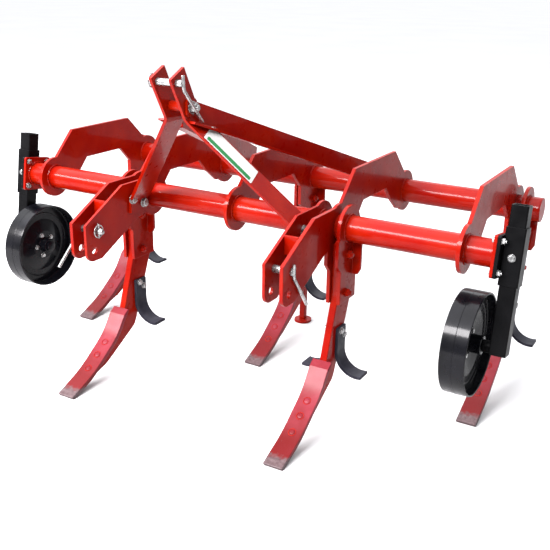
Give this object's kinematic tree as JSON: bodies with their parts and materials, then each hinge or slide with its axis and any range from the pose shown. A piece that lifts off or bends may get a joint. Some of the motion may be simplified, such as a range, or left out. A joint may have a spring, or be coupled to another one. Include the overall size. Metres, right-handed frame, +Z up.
{
  "type": "subsoiler",
  "caption": "Tractor-mounted subsoiler with curved shanks on two cross tubes, winged shares, a three-point hitch, depth wheels on sliding posts and a parking stand.",
  "frame": {"origin": "centre of the machine's box at ground level, where the share points rest", "axes": "X across the machine, -Y the direction of travel, +Z up"},
  "size_m": [2.366, 1.2972, 1.374],
  "materials": {
    "red_paint": "glossy red paint",
    "share_paint": "glossy light red paint, bare at the point",
    "wing_steel": "satin charcoal coating",
    "black_paint": "satin black paint",
    "wheel_paint": "glossy black paint",
    "zinc": "bright zinc plate"
  },
  "bodies": {
    "frame": {"arch_plate_front_left": "red_paint", "arch_plate_front_right": "red_paint", "arch_plate_rear_centre": "red_paint", "arch_plate_rear_left": "red_paint", "arch_plate_rear_right": "red_paint", "bracket_plates": "red_paint", "end_flanges": "red_paint", "front_tube": "red_paint", "hitch_cheeks": "red_paint", "hitch_cross_plates": "red_paint", "hitch_pins": "zinc", "mast_bar_left": "red_paint", "mast_bar_right": "red_paint", "mast_spacer": "red_paint", "post_sleeve_left": "black_paint", "post_sleeve_right": "black_paint", "rear_tube": "red_paint", "rear_tube_caps": "red_paint", "shank_front_left": "red_paint", "shank_front_right": "red_paint", "shank_rear_centre": "red_paint", "shank_rear_left": "red_paint", "shank_rear_right": "red_paint", "share_front_left": "share_paint", "share_front_right": "share_paint", "share_rear_centre": "share_paint", "share_rear_left": "share_paint", "share_rear_right": "share_paint", "stand_sleeve": "red_paint", "stay_left": "red_paint", "stay_right": "red_paint", "top_link_pin": "zinc", "wings": "wing_steel"},
    "post_left": {"wheel_post_left": "black_paint"},
    "post_right": {"wheel_post_right": "black_paint"},
    "wheel_left": {"depth_wheel_left": "wheel_paint"},
    "wheel_right": {"depth_wheel_right": "wheel_paint"},
    "stand": {"stand_leg": "red_paint"}
  },
  "joints": [
    {"name": "post_left_slide", "type": "slide", "parent": "frame", "child": "post_left", "axis": [0, 0.1616, 0.9869], "range_m": [-0.08, 0.06]},
    {"name": "post_right_slide", "type": "slide", "parent": "frame", "child": "post_right", "axis": [0, 0.1616, 0.9869], "range_m": [-0.08, 0.06]},
    {"name": "wheel_left_spin", "type": "hinge", "parent": "post_left", "child": "wheel_left", "pos_m": [-1.037, -0.19008, 0.45434], "axis": [1, 0, 0], "continuous": true},
    {"name": "wheel_right_spin", "type": "hinge", "parent": "post_right", "child": "wheel_right", "pos_m": [1.037, -0.19008, 0.45434], "axis": [1, 0, 0], "continuous": true},
    {"name": "stand_slide", "type": "slide", "parent": "frame", "child": "stand", "axis": [0, 0, 1], "range_m": [0, 0.4]}
  ]
}
